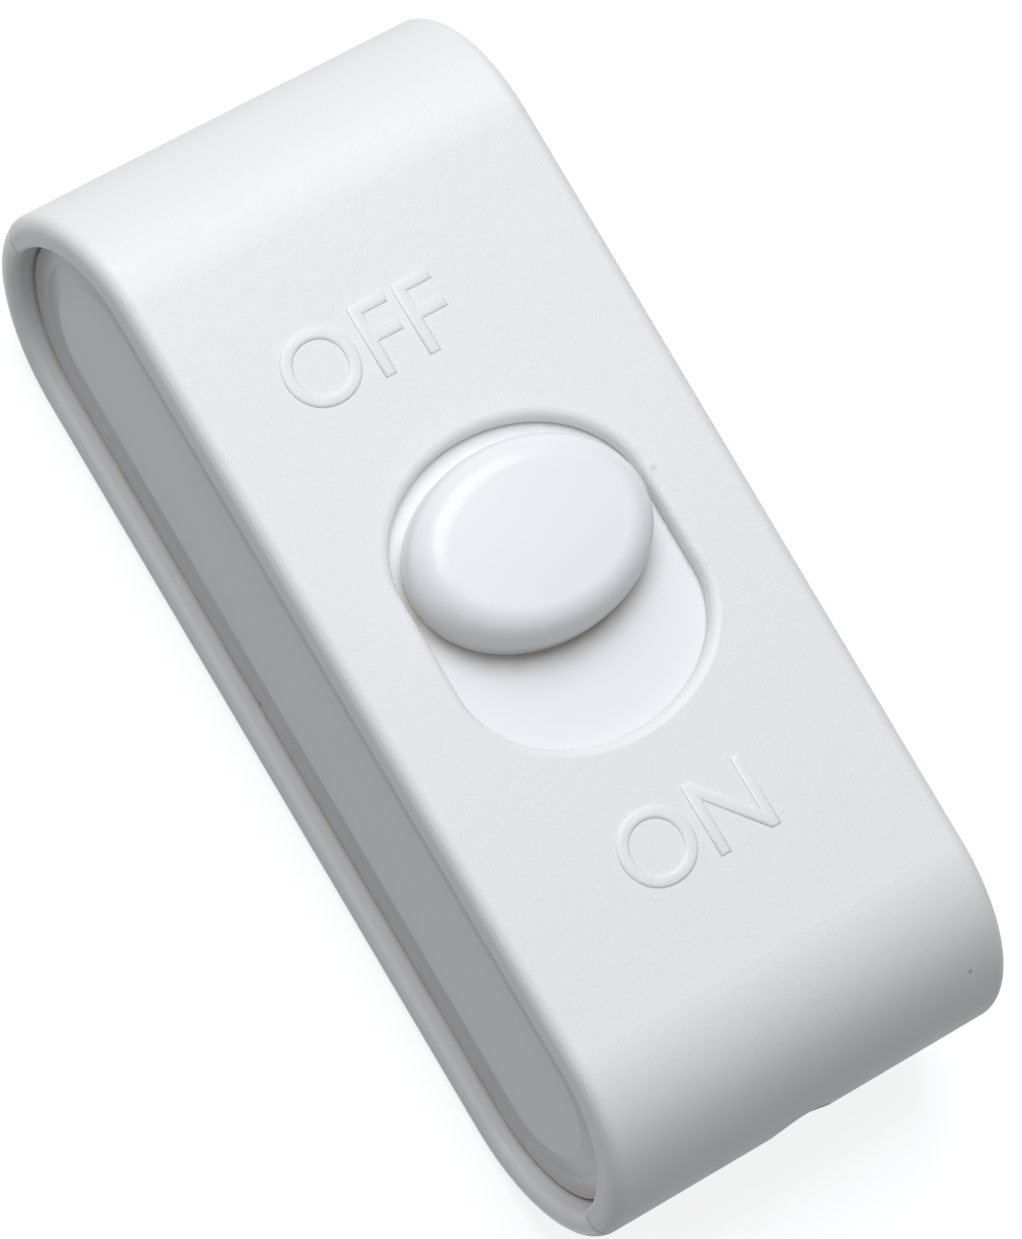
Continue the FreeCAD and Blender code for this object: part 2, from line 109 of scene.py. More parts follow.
class ShaderTree:
    """Short ways to add and link the nodes of one shader tree."""

    # Places of the colour sockets on a Mix node.
    MIX_PLAIN = 6
    MIX_MARKED = 7
    MIX_RESULT = 2

    def __init__(self, tree: bpy.types.NodeTree) -> None:
        """Keep the tree that the nodes go in."""
        self.tree = tree

    def add(self, kind: str, **values: object) -> bpy.types.Node:
        """Add one node and set its own properties.

        Args:
            kind: type name of the node, such as ShaderNodeMath.
            values: properties of the node by name.

        Returns:
            The new node.
        """
        node = self.tree.nodes.new(kind)
        for name, value in values.items():
            setattr(node, name, value)
        return node

    def link(self, source: Socket, target: Socket) -> None:
        """Join an output to an input."""
        self.tree.links.new(source, target)

    def feed(self, slots: Sequence[Socket], values: Sequence[object]) -> None:
        """Link or set inputs.

        Args:
            slots: the inputs to feed.
            values: a socket or a plain value for each input.
        """
        for slot, value in zip(slots, values):
            if isinstance(value, Socket):
                self.link(value, slot)
            else:
                slot.default_value = value

    def math(self, operation: str, *values: object) -> Socket:
        """Add a Math node fed by sockets or numbers.

        Args:
            operation: the Math node's operation.
            values: sockets or numbers for its inputs.

        Returns:
            The node's output.
        """
        node = self.add("ShaderNodeMath", operation=operation)
        self.feed(node.inputs, values)
        return node.outputs[0]

    def vector(self, operation: str, *values: object, result: str = "Vector") -> Socket:
        """Add a Vector Math node fed by sockets or plain vectors.

        Args:
            operation: the Vector Math node's operation.
            values: sockets or vectors for its inputs.
            result: name of the output to give.

        Returns:
            The named output.
        """
        node = self.add("ShaderNodeVectorMath", operation=operation)
        self.feed(node.inputs, values)
        return node.outputs[result]

    def parts(self, vector: Socket) -> Mapping[str, Socket]:
        """Split a vector.

        Args:
            vector: the vector.

        Returns:
            Its X, Y and Z by name.
        """
        node = self.add("ShaderNodeSeparateXYZ")
        self.link(vector, node.inputs[0])
        return node.outputs

    def noise(self, vector: Socket, scale: object, octaves: Octaves) -> Socket:
        """Add a noise texture.

        Args:
            vector: coordinates to read.
            scale: socket or number for the scale.
            octaves: detail of the noise.

        Returns:
            The noise value, near 0.5 on average.
        """
        node = self.add("ShaderNodeTexNoise")
        self.link(vector, node.inputs["Vector"])
        self.feed([node.inputs["Scale"]], [scale])
        node.inputs["Detail"].default_value = octaves.count
        node.inputs["Roughness"].default_value = octaves.rough
        return node.outputs["Fac"]

    def spread(self, value: Socket, low: float, high: float) -> Socket:
        """Map a 0 to 1 value onto a range and keep it there.

        Args:
            value: socket from 0 to 1.
            low: result at 0.
            high: result at 1.

        Returns:
            The mapped value.
        """
        node = self.add("ShaderNodeMapRange")
        self.link(value, node.inputs["Value"])
        node.inputs["To Min"].default_value = low
        node.inputs["To Max"].default_value = high
        return node.outputs["Result"]

    def mix(self, mask: Socket, plain: Socket | Colour, marked: Colour) -> Socket:
        """Mix two colours by a mask.

        Args:
            mask: 0 for the plain colour, 1 for the marked one.
            plain: colour or socket where the mask is 0.
            marked: colour where the mask is 1.

        Returns:
            The mixed colour.
        """
        node = self.add("ShaderNodeMix", data_type="RGBA")
        self.link(mask, node.inputs["Factor"])
        start = plain if isinstance(plain, Socket) else rgba(plain)
        self.feed([node.inputs[self.MIX_PLAIN]], [start])
        node.inputs[self.MIX_MARKED].default_value = rgba(marked)
        return node.outputs[self.MIX_RESULT]

    def bump(self, height: Socket, depth: float) -> Socket:
        """Turn a height into a bumped normal.

        Args:
            height: the height.
            depth: depth that a height of 1 stands for.

        Returns:
            The normal.
        """
        node = self.add("ShaderNodeBump")
        node.inputs["Strength"].default_value = 1.0
        node.inputs["Distance"].default_value = depth
        self.link(height, node.inputs["Height"])
        return node.outputs["Normal"]

    def group(self, which: Group, vector: Socket, **inputs: object) -> Mapping[str, Socket]:
        """Place a shared group and set its inputs.

        Args:
            which: the group.
            vector: coordinates for its Vector input.
            inputs: values of its other inputs, by name with _ for spaces.

        Returns:
            The group's outputs by name.
        """
        node = self.add("ShaderNodeGroup", node_tree=bpy.data.node_groups[which.value])
        self.link(vector, node.inputs["Vector"])
        for name, value in inputs.items():
            node.inputs[name.replace("_", " ")].default_value = value
        return node.outputs


class SharedGroups:
    """Builds the effects that several finishes share."""

    PEEL_SCALE_SHARE = 0.22
    SIDE_COSINE = 0.8
    SEAM_PATCH_SCALE = 420.0
    SEAM_PATCH_RANGE: Range = (0.1, 1.3)
    FOOT_PATCH_SCALE = 700.0
    FOOT_PATCH_RANGE: Range = (0.65, 1.2)
    FOOT_SIDE_GAIN = 2.0
    FOOT_SIDE_START = 0.3
    LINE_STRETCH: Place = (0.04, 1.0, 1.0)
    LEVEL_ONLY: Place = (1.0, 1.0, 0.0)

    def new(
        self,
        which: Group,
        vectors: Sequence[str],
        values: Sequence[str],
        outputs: Sequence[str],
    ) -> tuple[ShaderTree, Mapping[str, Socket], Mapping[str, Socket]]:
        """Start a group with its sockets.

        Args:
            which: the group to make.
            vectors: names of the vector inputs.
            values: names of the value inputs.
            outputs: names of the value outputs.

        Returns:
            The group's tree, the sockets that give its inputs, and those that take its outputs.
        """
        tree = bpy.data.node_groups.new(which.value, "ShaderNodeTree")
        for name in vectors:
            tree.interface.new_socket(name, in_out="INPUT", socket_type="NodeSocketVector")
        for name in values:
            tree.interface.new_socket(name, in_out="INPUT", socket_type="NodeSocketFloat")
        for name in outputs:
            tree.interface.new_socket(name, in_out="OUTPUT", socket_type="NodeSocketFloat")
        shader = ShaderTree(tree)
        given = shader.add("NodeGroupInput").outputs
        taken = shader.add("NodeGroupOutput").inputs
        return shader, given, taken

    def grain(self) -> None:
        """Spark-eroded mould texture: fine pimples with a softer orange peel under them."""
        shader, given, taken = self.new(Group.GRAIN, ["Vector"], ["Scale", "Peel"], ["Height", "Tone"])
        fine = shader.noise(given["Vector"], given["Scale"], FINE_GRAIN)
        coarse_scale = shader.math("MULTIPLY", given["Scale"], self.PEEL_SCALE_SHARE)
        coarse = shader.noise(given["Vector"], coarse_scale, SOFT_PEEL)
        peel = shader.math("MULTIPLY", coarse, given["Peel"])
        shader.link(shader.math("ADD", fine, peel), taken["Height"])
        shader.link(coarse, taken["Tone"])

    def drift(self) -> None:
        """Slow change of tone across a piece."""
        shader, given, taken = self.new(Group.DRIFT, ["Vector"], ["Scale"], ["Tone"])
        slow = shader.noise(given["Vector"], given["Scale"], SLOW_CLOUD)
        shader.link(slow, taken["Tone"])

    def speck(self) -> None:
        """Spot at one point of a moulding, strongest in its middle."""
        shader, given, taken = self.new(Group.SPECK, ["Vector", "Centre"], ["Radius"], ["Mask"])
        apart = shader.vector("DISTANCE", given["Vector"], given["Centre"], result="Value")
        ratio = shader.math("DIVIDE", apart, given["Radius"])
        near = shader.math("SUBTRACT", 1.0, ratio)
        shader.link(shader.math("MAXIMUM", near, 0.0), taken["Mask"])

    def side(self) -> None:
        """Mask of the faces that look across the width, which the mould leaves smooth."""
        shader, given, taken = self.new(Group.SIDE, ["Vector"], [], ["Mask"])
        across = shader.math("ABSOLUTE", shader.parts(given["Vector"])["Y"])
        shader.link(shader.math("GREATER_THAN", across, self.SIDE_COSINE), taken["Mask"])

    def seam(self) -> None:
        """Painted shade and grime along a seam that runs at one depth inside a long round-ended outline
        in X and Z.
        """
        values = ["Centre Height", "Straight Half", "Seam Radius", "Width", "Half Width", "Fade"]
        shader, given, taken = self.new(Group.SEAM, ["Vector"], values, ["Mask"])
        parts = shader.parts(given["Vector"])
        along = shader.math("ABSOLUTE", parts["X"])
        past = shader.math("SUBTRACT", along, given["Straight Half"])
        past = shader.math("MAXIMUM", past, 0.0)
        rise = shader.math("SUBTRACT", parts["Z"], given["Centre Height"])
        past_square = shader.math("MULTIPLY", past, past)
        rise_square = shader.math("MULTIPLY", rise, rise)
        radius = shader.math("SQRT", shader.math("ADD", past_square, rise_square))
        off = shader.math("ABSOLUTE", shader.math("SUBTRACT", radius, given["Seam Radius"]))
        near = shader.math("SUBTRACT", 1.0, shader.math("DIVIDE", off, given["Width"]))
        near = shader.math("MAXIMUM", near, 0.0)
        across = shader.math("ABSOLUTE", parts["Y"])
        inward = shader.math("SUBTRACT", given["Half Width"], across)
        within = shader.spread(shader.math("DIVIDE", inward, given["Fade"]), 0.0, 1.0)
        # The mask paints shade into the recess along the seam, with some grime.
        cloud = shader.noise(given["Vector"], self.SEAM_PATCH_SCALE, SLOW_CLOUD)
        patchy = shader.spread(cloud, *self.SEAM_PATCH_RANGE)
        mask = shader.math("MULTIPLY", shader.math("MULTIPLY", near, within), patchy)
        shader.link(mask, taken["Mask"])

    def foot(self) -> None:
        """Painted contact shadow and grime on a plate round the foot of an oval knob, thickest on the
        side where the shadow falls.
        """
        vectors = ["Vector", "Centre", "Reach", "Side"]
        shader, given, taken = self.new(Group.FOOT, vectors, ["Width", "Fade", "Height"], ["Mask"])
        offset = shader.vector("SUBTRACT", given["Vector"], given["Centre"])
        level = shader.vector("MULTIPLY", offset, self.LEVEL_ONLY)
        scaled = shader.vector("DIVIDE", level, given["Reach"])
        ratio = shader.vector("LENGTH", scaled, result="Value")
        span = shader.vector("LENGTH", level, result="Value")
        past = shader.math("MULTIPLY", shader.math("SUBTRACT", ratio, 1.0), span)
        left = shader.math("SUBTRACT", given["Width"], past)
        rise = shader.spread(shader.math("DIVIDE", left, given["Fade"]), 0.0, 1.0)
        near = shader.math("MULTIPLY", rise, rise)
        facing = shader.vector("NORMALIZE", scaled)
        side = shader.vector("DOT_PRODUCT", facing, given["Side"], result="Value")
        # The painted shadow is thickest on the side that the knob shades.
        turned = shader.math("MULTIPLY_ADD", side, self.FOOT_SIDE_GAIN, self.FOOT_SIDE_START)
        thick = shader.spread(turned, 0.0, 1.0)
        height = shader.parts(offset)["Z"]
        low = shader.spread(shader.math("DIVIDE", height, given["Height"]), 1.0, 0.0)
        cloud = shader.noise(given["Vector"], self.FOOT_PATCH_SCALE, SLOW_CLOUD)
        patchy = shader.spread(cloud, *self.FOOT_PATCH_RANGE)
        placed = shader.math("MULTIPLY", near, thick)
        mask = shader.math("MULTIPLY", placed, shader.math("MULTIPLY", low, patchy))
        shader.link(mask, taken["Mask"])

    def brushed(self) -> None:
        """Drawn lines along X on strip metal."""
        shader, given, taken = self.new(Group.BRUSHED, ["Vector"], ["Scale"], ["Lines"])
        stretch = shader.add("ShaderNodeMapping")
        stretch.inputs["Scale"].default_value = self.LINE_STRETCH
        shader.link(given["Vector"], stretch.inputs["Vector"])
        lines = shader.noise(stretch.outputs["Vector"], given["Scale"], DRAWN_LINES)
        shader.link(lines, taken["Lines"])

    def build(self) -> None:
        """Build every group once."""
        self.grain()
        self.drift()
        self.speck()
        self.side()
        self.seam()
        self.foot()
        self.brushed()


@dataclass(frozen=True)
class Speck:
    """Dark inclusion or smudge on a moulding."""

    centre: Place
    radius: float
    strength: float
    colour: Colour = (0.16, 0.14, 0.13)


@dataclass(frozen=True)
class SeamShadeAndGrime:
    """Painted shade and grime in the seam between the two shells, at one depth inside their long outline.
    """

    centre_height: float
    straight_half: float
    radius: float
    width: float
    half_width: float
    fade: float
    strength: float
    colour: Colour

    def mask(self, shader: ShaderTree, where: Socket) -> Socket:
        """Place the seam's group.

        Args:
            shader: tree of the material.
            where: Object coordinates.

        Returns:
            The mask of the grime.
        """
        seam = shader.group(
            Group.SEAM,
            where,
            Centre_Height=self.centre_height,
            Straight_Half=self.straight_half,
            Seam_Radius=self.radius,
            Width=self.width,
            Half_Width=self.half_width,
            Fade=self.fade,
        )
        return seam["Mask"]


@dataclass(frozen=True)
class FootShadowAndGrime:
    """Painted contact shadow and grime on the slide plate round the knob's foot, thickest on the side
    where the shadow falls.
    """

    centre: Place
    reach: Place
    side: Place
    width: float
    fade: float
    height: float
    strength: float
    colour: Colour

    def mask(self, shader: ShaderTree, where: Socket) -> Socket:
        """Place the foot's group.

        Args:
            shader: tree of the material.
            where: Object coordinates.

        Returns:
            The mask of the grime.
        """
        foot = shader.group(
            Group.FOOT,
            where,
            Centre=self.centre,
            Reach=self.reach,
            Side=self.side,
            Width=self.width,
            Fade=self.fade,
            Height=self.height,
        )
        return foot["Mask"]


def start_material(name: str) -> tuple[bpy.types.Material, ShaderTree, bpy.types.Node]:
    """Start a material.

    Args:
        name: name of the material.

    Returns:
        The material, its tree and its surface shader.
    """
    material = bpy.data.materials.new(name)
    material.use_nodes = True
    return material, ShaderTree(material.node_tree), material.node_tree.nodes["Principled BSDF"]


@dataclass(frozen=True)
class MouldedPlastic:
    """White injection-moulded plastic."""

    name: str
    colour: Colour
    drift_colour: Colour
    roughness: Range
    grain_scale: float
    grain_depth: float
    peel: float
    drift_scale: float = 90.0
    specular: float = 0.5
    side_roughness: float | None = None
    specks: tuple[Speck, ...] = ()
    # Darkening that is partly painted shade and partly grime.
    shade_and_grime: SeamShadeAndGrime | FootShadowAndGrime | None = None

    def tone(self, shader: ShaderTree, where: Socket) -> Socket:
        """Mix the moulding's colour with its painted shade and grime and with its specks.

        Args:
            shader: tree of the material.
            where: Object coordinates.

        Returns:
            The colour.
        """
        drift = shader.group(Group.DRIFT, where, Scale=self.drift_scale)
        colour = shader.mix(drift["Tone"], self.colour, self.drift_colour)
        if self.shade_and_grime is not None:
            # Painted shade and grime darken the colour by their mask.
            darkened = shader.math("MULTIPLY", self.shade_and_grime.mask(shader, where), self.shade_and_grime.strength)
            colour = shader.mix(darkened, colour, self.shade_and_grime.colour)
        for speck in self.specks:
            spot = shader.group(Group.SPECK, where, Centre=speck.centre, Radius=speck.radius)
            marked = shader.math("MULTIPLY", spot["Mask"], speck.strength)
            colour = shader.mix(marked, colour, speck.colour)
        return colour

    def build(self) -> bpy.types.Material:
        """Make the material.

        Returns:
            The finished material.
        """
        material, shader, surface = start_material(self.name)
        places = shader.add("ShaderNodeTexCoord")
        where = places.outputs["Object"]
        shader.link(self.tone(shader, where), surface.inputs["Base Color"])
        surface.inputs["Specular IOR Level"].default_value = self.specular
        grain = shader.group(Group.GRAIN, where, Scale=self.grain_scale, Peel=self.peel)
        rough = shader.spread(grain["Tone"], *self.roughness)
        height = grain["Height"]
        if self.side_roughness is not None:
            side = shader.group(Group.SIDE, places.outputs["Normal"])["Mask"]
            rest = shader.math("SUBTRACT", 1.0, side)
            height = shader.math("MULTIPLY", height, rest)
            smooth = shader.math("MULTIPLY", side, self.side_roughness)
            rough = shader.math("ADD", shader.math("MULTIPLY", rough, rest), smooth)
        shader.link(rough, surface.inputs["Roughness"])
        shader.link(shader.bump(height, self.grain_depth), surface.inputs["Normal"])
        return material


@dataclass(frozen=True)
class StripMetal:
    """Drawn or rolled metal with fine lines and a little tarnish."""

    name: str
    colour: Colour
    tarnish: Colour
    roughness: Range
    line_scale: float = 5000.0
    line_depth: float = 0.004 * MM
    drift_scale: float = 260.0

    def build(self) -> bpy.types.Material:
        """Make the material.

        Returns:
            The finished material.
        """
        material, shader, surface = start_material(self.name)
        surface.inputs["Metallic"].default_value = 1.0
        where = shader.add("ShaderNodeTexCoord").outputs["Object"]
        lines = shader.group(Group.BRUSHED, where, Scale=self.line_scale)["Lines"]
        drift = shader.group(Group.DRIFT, where, Scale=self.drift_scale)["Tone"]
        shader.link(shader.mix(drift, self.colour, self.tarnish), surface.inputs["Base Color"])
        shader.link(shader.spread(lines, *self.roughness), surface.inputs["Roughness"])
        shader.link(shader.bump(lines, self.line_depth), surface.inputs["Normal"])
        return material


Finish = MouldedPlastic | StripMetal

WINDOW_SMUDGE = Speck((-3.06 * MM, 10.18 * MM, 20.4 * MM), 0.36 * MM, 0.5, (0.46, 0.43, 0.38))
END_SPECK = Speck((35.17 * MM, 12.76 * MM, 17.14 * MM), 0.22 * MM, 0.8)
RIM_SPOT = Speck((-3.46 * MM, -14.43 * MM, 2.4 * MM), 0.3 * MM, 0.9, (0.36, 0.3, 0.24))
KNOB_SPECK = Speck((-0.04 * MM, -5.49 * MM, 22.66 * MM), 0.14 * MM, 0.22)

SHELL = MouldedPlastic(
    name="moulded_shell",
    colour=(0.80, 0.788, 0.766),
    drift_colour=(0.785, 0.773, 0.75),
    roughness=(0.38, 0.5),
    grain_scale=4200.0,
    grain_depth=0.02 * MM,
    peel=0.8,
    side_roughness=0.26,
    specks=(WINDOW_SMUDGE, END_SPECK, RIM_SPOT),
    # Painted shade round the side recess along the seam, mixed with grime.
    shade_and_grime=SeamShadeAndGrime(
        centre_height=10.2 * MM,
        straight_half=27.7 * MM,
        radius=8.1 * MM,
        width=1.8 * MM,
        half_width=14.75 * MM,
        fade=0.3 * MM,
        strength=0.5,
        colour=(0.46, 0.4, 0.34),
    ),
)
BUTTON = MouldedPlastic(
    name="gloss_button",
    colour=(0.82, 0.825, 0.81),
    drift_colour=(0.81, 0.815, 0.8),
    roughness=(0.27, 0.34),
    grain_scale=900.0,
    grain_depth=0.004 * MM,
    peel=0.4,
    specks=(KNOB_SPECK,),
    # Painted contact shadow round the knob's foot, mixed with grime, thickest on the shadowed side.
    shade_and_grime=FootShadowAndGrime(
        centre=(-2.7 * MM, 0.0, 19.3 * MM),
        reach=(6.7 * MM, 8.85 * MM, 1.0),
        side=(0.86, -0.51, 0.0),
        width=2.6 * MM,
        fade=2.6 * MM,
        height=0.1 * MM,
        strength=1.0,
        colour=(0.50, 0.45, 0.39),
    ),
)
CLAMP = MouldedPlastic(
    name="clamp_moulding",
    colour=(0.78, 0.78, 0.76),
    drift_colour=(0.74, 0.74, 0.72),
    roughness=(0.45, 0.6),
    grain_scale=3000.0,
    grain_depth=0.03 * MM,
    peel=0.5,
)
BRASS = StripMetal("strip_brass", (0.82, 0.62, 0.3), (0.68, 0.47, 0.2), (0.22, 0.42))
SPRING_STEEL = StripMetal("spring_steel", (0.56, 0.56, 0.57), (0.44, 0.43, 0.43), (0.25, 0.4))
ZINC_STEEL = StripMetal("zinc_steel", (0.66, 0.67, 0.68), (0.55, 0.55, 0.54), (0.24, 0.42))

NODE_FINISHES: dict[str, Finish] = {
    "top_shell": SHELL,
    "bottom_shell": SHELL,
    "slide_button": BUTTON,
    "cord_clamp": CLAMP,
    "moving_contact": BRASS,
    "live_terminal": BRASS,
    "neutral_link": BRASS,
    "contact_spring": SPRING_STEEL,
    "detent_spring": SPRING_STEEL,
    "terminal_washer": ZINC_STEEL,
    "terminal_screw": ZINC_STEEL,
    "clamp_screw": ZINC_STEEL,
    "housing_screw": ZINC_STEEL,
}


def put_on(piece: bpy.types.Object, material: bpy.types.Material) -> None:
    """Give a piece one material and no other."""
    piece.data.materials.clear()
    piece.data.materials.append(material)


@dataclass
class CadFinishes:
    """Dresses the CAD pieces that are shown as they are."""

    finishes: dict[str, Finish]
    made: dict[str, bpy.types.Material] = field(default_factory=dict)

    def material(self, finish: Finish) -> bpy.types.Material:
        """Give a finish's material, made once.

        Args:
            finish: the finish.

        Returns:
            Its material.
        """
        if finish.name not in self.made:
            self.made[finish.name] = finish.build()
        return self.made[finish.name]

    def dress(self) -> None:
        """Put each CAD node's finish in its material slot."""
        for name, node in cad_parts.items():
            finish = next(f for start, f in self.finishes.items() if name.startswith(start))
            put_on(node, self.material(finish))
            log.info("dressed %s with %s", name, finish.name)


def settle() -> None:
    """Put the selected object's place, turn and scale into its mesh."""
    bpy.ops.object.transform_apply(location=True, rotation=True, scale=True)


def close_up(weld: float, smooth_degrees: float) -> None:
    """Weld the active mesh, point its faces outward and smooth its shallow edges.

    Args:
        weld: distance within which vertices become one.
        smooth_degrees: angle up to which neighbouring faces are shaded as one.
    """
    bpy.ops.object.mode_set(mode="EDIT")
    bpy.ops.mesh.select_all(action="SELECT")
    bpy.ops.mesh.remove_doubles(threshold=weld)
    bpy.ops.mesh.normals_make_consistent(inside=False)
    bpy.ops.object.mode_set(mode="OBJECT")
    bpy.ops.object.shade_smooth_by_angle(angle=math.radians(smooth_degrees))


def select_edges(piece: bpy.types.Object, wanted: Callable[[Vector], bool]) -> None:
    """Enter edit mode with the edges selected whose two ends pass a test.

    Args:
        piece: the active mesh object.
        wanted: test of a vertex place.
    """
    bpy.ops.object.mode_set(mode="EDIT")
    bpy.ops.mesh.select_mode(type="EDGE")
    bpy.ops.mesh.select_all(action="DESELECT")
    bpy.ops.object.mode_set(mode="OBJECT")
    for edge in piece.data.edges:
        edge.select = all(wanted(piece.data.vertices[index].co) for index in edge.vertices)
    bpy.ops.object.mode_set(mode="EDIT")


@dataclass
class RaisedWord:
    """Word moulded in low relief on the top face, reading across the width.

    Its edges are quarter ellipses, edge_width wide, whose widest line lies sunk below the face.
    """

    name: str
    word: str
    centre_x: float
    centre_y: float
    letter_height: float = 7.4 * MM
    relief: float = 0.13 * MM
    edge_width: float = 0.27 * MM
    stroke_gain: float = 0.12 * MM
    sunk: float = 0.09 * MM
    edge_steps: int = 3
    curve_steps: int = 8
    reading_degrees: float = 90.0
    weld: float = 0.002 * MM
    smooth_degrees: float = 40.0

    def build(self, top: float) -> bpy.types.Object:
        """Model the word in its place.

        Args:
            top: height of the top face.

        Returns:
            The word.
        """
        bpy.ops.object.select_all(action="DESELECT")
        bpy.ops.object.text_add(radius=self.letter_height)
        letters = bpy.context.object
        letters.data.body = self.word
        letters.data.align_x = "CENTER"
        letters.data.align_y = "CENTER"
        letters.data.offset = self.stroke_gain - self.edge_width
        letters.data.bevel_depth = self.edge_width
        letters.data.bevel_resolution = self.edge_steps
        letters.data.resolution_u = self.curve_steps
        letters.name = self.name
        bpy.ops.object.convert(target="MESH")
        flatten = Matrix.Diagonal((1.0, 1.0, (self.relief + self.sunk) / self.edge_width, 1.0))
        turn = Matrix.Rotation(math.radians(self.reading_degrees), 4, "Z")
        seat = Matrix.Translation((self.centre_x, self.centre_y, top - self.sunk))
        letters.matrix_world = seat @ turn @ flatten
        settle()
        close_up(self.weld, self.smooth_degrees)
        return letters

    def dress(self, letters: bpy.types.Object, material: bpy.types.Material) -> None:
        """Finish the word and put it on the housing.

        Args:
            letters: the word.
            material: finish of the shell.
        """
        put_on(letters, material)
        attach(letters, Body.HOUSING.value)
        log.info("raised word %s", self.name)


WORDS = (
    RaisedWord("word_off", "OFF", -18.6 * MM, -2.8 * MM),
    RaisedWord("word_on", "ON", 18.6 * MM, -0.3 * MM),
)


@dataclass
class ThreadedScrew:
    """Pan-head screw with a cross recess and a rolled thread, modelled once for several places.

    The pattern stands at the origin, its seat at height 0, its head above and its shank below.
    The recess's depth is a share of the head's height, its length and width are shares of the head's
    radius, and the other shares are of the head's height. The point is point_radii shank radii long
    and stops tip_rings short of sharp.
    """

    nodes: tuple[str, ...]
    way: ShankWay
    head_radius: float
    head_height: float
    shank_radius: float
    length: float
    pitch: float
    thread_depth: float
    rings_per_turn: int = 8
    head_facets: int = 48
    shank_facets: int = 20
    recess_depth_share: float = 0.62
    recess_length_share: float = 1.16
    recess_width_share: float = 0.3
    recess_taper: Place = (0.42, 0.7, 1.0)
    crown_share: float = 0.6
    crown_steps: int = 5
    rim_share: float = 0.08
    rim_steps: int = 2
    round_profile: float = 0.5
    lap_share: float = 0.25
    point_radii: float = 2.0
    tip_rings: float = 0.4
    weld: float = 0.001 * MM
    smooth_degrees: float = 38.0
    first_turn_degrees: float = 23.0
    next_turn_degrees: float = 41.0

    def recess(self, head: bpy.types.Object, turn: float) -> None:
        """Cut one bar of the cross recess, narrower at its foot.

        Args:
            head: the head to cut.
            turn: angle of the bar about the screw's axis.
        """
        depth = self.recess_depth_share * self.head_height
        length = self.recess_length_share * self.head_radius
        width = self.recess_width_share * self.head_radius
        bpy.ops.object.select_all(action="DESELECT")
        bpy.ops.mesh.primitive_cube_add(size=1.0, location=(0.0, 0.0, self.head_height))
        bar = bpy.context.object
        bar.scale = (length, width, 2 * depth)
        settle()
        select_edges(bar, lambda place: place.z < self.head_height)
        bpy.ops.transform.resize(value=self.recess_taper, center_override=(0.0, 0.0, 0.0))
        bpy.ops.object.mode_set(mode="OBJECT")
        bar.matrix_world = Matrix.Rotation(turn, 4, "Z")
        settle()
        bpy.ops.object.select_all(action="DESELECT")
        bpy.context.view_layer.objects.active = head
        cut = head.modifiers.new("recess", "BOOLEAN")
        cut.operation = "DIFFERENCE"
        cut.solver = "EXACT"
        cut.object = bar
        bpy.ops.object.modifier_apply(modifier=cut.name)
        bpy.data.objects.remove(bar)

    def round_off(self, share: float, steps: int) -> None:
        """Round the selected edges of the head and leave edit mode.

        Args:
            share: size of the round as a share of the head's height.
            steps: facets across the round.
        """
        offset = share * self.head_height
        bpy.ops.mesh.bevel(offset=offset, segments=steps, profile=self.round_profile, affect="EDGES")
        bpy.ops.object.mode_set(mode="OBJECT")

    def head(self) -> bpy.types.Object:
        """Model the head with its rounded crown and cross recess.

        Returns:
            The head.
        """
        bpy.ops.object.select_all(action="DESELECT")
        bpy.ops.mesh.primitive_cylinder_add(
            vertices=self.head_facets,
            radius=self.head_radius,
            depth=self.head_height,
            location=(0.0, 0.0, self.head_height / 2),
        )
        head = bpy.context.object
        settle()
        select_edges(head, lambda place: place.z > self.head_height / 2)
        self.round_off(self.crown_share, self.crown_steps)
        select_edges(head, lambda place: place.z < self.rim_share * self.head_height)
        self.round_off(self.rim_share, self.rim_steps)
        for turn in (0.0, math.pi / 2):
            self.recess(head, turn)
        return head

    def shank(self) -> bpy.types.Object:
        """Draw an off-centre disc down its turning axis, which leaves a rolled thread behind it.

        Returns:
            The shank, pointed at its tip.
        """
        start = self.lap_share * self.head_height
        step = self.pitch / self.rings_per_turn
        rings = round((self.length + start) / step)
        pointed = round(self.point_radii * self.shank_radius / step)
        bpy.ops.object.select_all(action="DESELECT")
        bpy.ops.mesh.primitive_circle_add(
            vertices=self.shank_facets,
            radius=self.shank_radius - self.thread_depth / 2,
            fill_type="NGON",
            location=(self.thread_depth / 2, 0.0, start),
        )
        shank = bpy.context.object
        settle()
        bpy.ops.object.mode_set(mode="EDIT")
        bpy.ops.mesh.select_mode(type="FACE")
        bpy.ops.mesh.select_all(action="SELECT")
        drop = (0.0, 0.0, -(self.length + start) / rings)
        turn = 2 * math.pi / self.rings_per_turn
        axis = (0.0, 0.0, 0.0)
        for ring in range(rings):
            bpy.ops.mesh.extrude_region_move(TRANSFORM_OT_translate={"value": drop})
            bpy.ops.transform.rotate(value=turn, orient_axis="Z", center_override=axis)
            if ring >= rings - pointed:
                left = rings - ring
                share = (left - (1 - self.tip_rings)) / (left + self.tip_rings)
                bpy.ops.transform.resize(value=(share, share, 1.0), center_override=axis)
        bpy.ops.object.mode_set(mode="OBJECT")
        return shank

    def pattern(self) -> bpy.types.Object:
        """Join head and shank into one closed screw.

        Returns:
            The screw that the copies are taken from.
        """
        shank = self.shank()
        head = self.head()
        bpy.ops.object.select_all(action="DESELECT")
        shank.select_set(True)
        head.select_set(True)
        bpy.context.view_layer.objects.active = head
        bpy.ops.object.join()
        close_up(self.weld, self.smooth_degrees)
        return head

